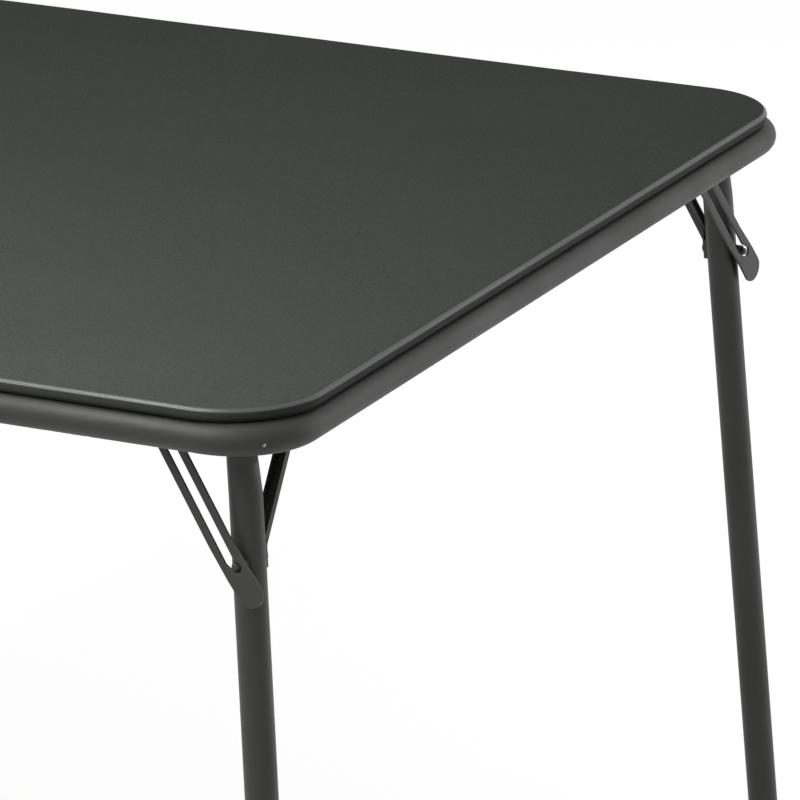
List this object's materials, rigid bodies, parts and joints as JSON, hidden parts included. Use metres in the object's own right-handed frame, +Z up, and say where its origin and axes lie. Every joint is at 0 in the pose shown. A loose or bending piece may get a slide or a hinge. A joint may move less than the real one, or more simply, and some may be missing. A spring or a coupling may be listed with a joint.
{
  "type": "folding card table",
  "caption": "Square folding card table with a padded top on a round tube frame and splayed tube legs that fold flat under it on slotted lock straps.",
  "frame": {"origin": "on the floor under the middle of the top", "axes": "+Z up, -Y towards the front rail, +X to the right"},
  "size_m": [0.897, 0.897, 0.711],
  "materials": {
    "dark_bronze_paint": "satin",
    "vinyl": "matte grained",
    "foam": "matte",
    "hardboard": "matte",
    "bare_steel": "plain",
    "zinc_steel": "zinc plated",
    "cap_plastic": "matte"
  },
  "bodies": {
    "table": {"frame_tube": "dark_bronze_paint", "frame_joint_sleeve": "bare_steel", "top_board": "hardboard", "foam_pad": "foam", "vinyl_cover": "vinyl", "frame_screws": "zinc_steel", "leg_bracket_front_right": "dark_bronze_paint", "brace_bracket_front_right": "dark_bronze_paint", "leg_pin_front_right": "dark_bronze_paint", "brace_pin_front_right": "dark_bronze_paint", "strap_rivet_front_right": "dark_bronze_paint", "leg_bracket_back_right": "dark_bronze_paint", "brace_bracket_back_right": "dark_bronze_paint", "leg_pin_back_right": "dark_bronze_paint", "brace_pin_back_right": "dark_bronze_paint", "strap_rivet_back_right": "dark_bronze_paint", "leg_bracket_back_left": "dark_bronze_paint", "brace_bracket_back_left": "dark_bronze_paint", "leg_pin_back_left": "dark_bronze_paint", "brace_pin_back_left": "dark_bronze_paint", "strap_rivet_back_left": "dark_bronze_paint", "leg_bracket_front_left": "dark_bronze_paint", "brace_bracket_front_left": "dark_bronze_paint", "leg_pin_front_left": "dark_bronze_paint", "brace_pin_front_left": "dark_bronze_paint", "strap_rivet_front_left": "dark_bronze_paint"},
    "leg_front_right": {"leg_tube_front_right": "dark_bronze_paint", "side_brace_front_right": "dark_bronze_paint", "brace_rivet_front_right": "dark_bronze_paint", "lock_stud_front_right": "dark_bronze_paint", "foot_cap_front_right": "cap_plastic"},
    "strap_front_right": {"lock_strap_front_right": "dark_bronze_paint"},
    "leg_back_right": {"leg_tube_back_right": "dark_bronze_paint", "side_brace_back_right": "dark_bronze_paint", "brace_rivet_back_right": "dark_bronze_paint", "lock_stud_back_right": "dark_bronze_paint", "foot_cap_back_right": "cap_plastic"},
    "strap_back_right": {"lock_strap_back_right": "dark_bronze_paint"},
    "leg_back_left": {"leg_tube_back_left": "dark_bronze_paint", "side_brace_back_left": "dark_bronze_paint", "brace_rivet_back_left": "dark_bronze_paint", "lock_stud_back_left": "dark_bronze_paint", "foot_cap_back_left": "cap_plastic"},
    "strap_back_left": {"lock_strap_back_left": "dark_bronze_paint"},
    "leg_front_left": {"leg_tube_front_left": "dark_bronze_paint", "side_brace_front_left": "dark_bronze_paint", "brace_rivet_front_left": "dark_bronze_paint", "lock_stud_front_left": "dark_bronze_paint", "foot_cap_front_left": "cap_plastic"},
    "strap_front_left": {"lock_strap_front_left": "dark_bronze_paint"}
  },
  "joints": [
    {"name": "leg_fold_front_right", "type": "hinge", "parent": "table", "child": "leg_front_right", "pos_m": [0.381, -0.3832, 0.6844], "axis": [0.1735, 0.9838, -0.0444], "range_deg": [0, 95]},
    {"name": "strap_turn_front_right", "type": "hinge", "parent": "table", "child": "strap_front_right", "pos_m": [0.32703, -0.37368, 0.6844], "axis": [0.1735, 0.9838, -0.0444], "range_deg": [0, 122.57]},
    {"name": "leg_fold_back_right", "type": "hinge", "parent": "table", "child": "leg_back_right", "pos_m": [0.3832, 0.381, 0.6844], "axis": [-0.9838, 0.1735, -0.0444], "range_deg": [0, 95]},
    {"name": "strap_turn_back_right", "type": "hinge", "parent": "table", "child": "strap_back_right", "pos_m": [0.37368, 0.32703, 0.6844], "axis": [-0.9838, 0.1735, -0.0444], "range_deg": [0, 122.57]},
    {"name": "leg_fold_back_left", "type": "hinge", "parent": "table", "child": "leg_back_left", "pos_m": [-0.381, 0.3832, 0.6844], "axis": [-0.1735, -0.9838, -0.0444], "range_deg": [0, 95]},
    {"name": "strap_turn_back_left", "type": "hinge", "parent": "table", "child": "strap_back_left", "pos_m": [-0.32703, 0.37368, 0.6844], "axis": [-0.1735, -0.9838, -0.0444], "range_deg": [0, 122.57]},
    {"name": "leg_fold_front_left", "type": "hinge", "parent": "table", "child": "leg_front_left", "pos_m": [-0.3832, -0.381, 0.6844], "axis": [0.9838, -0.1735, -0.0444], "range_deg": [0, 95]},
    {"name": "strap_turn_front_left", "type": "hinge", "parent": "table", "child": "strap_front_left", "pos_m": [-0.37368, -0.32703, 0.6844], "axis": [0.9838, -0.1735, -0.0444], "range_deg": [0, 122.57]}
  ],
  "couplings": [
    {"joint": "strap_turn_front_right", "follows": "leg_fold_front_right", "ratio": 1.2901},
    {"joint": "strap_turn_back_right", "follows": "leg_fold_back_right", "ratio": 1.2901},
    {"joint": "strap_turn_back_left", "follows": "leg_fold_back_left", "ratio": 1.2901},
    {"joint": "strap_turn_front_left", "follows": "leg_fold_front_left", "ratio": 1.2901}
  ]
}
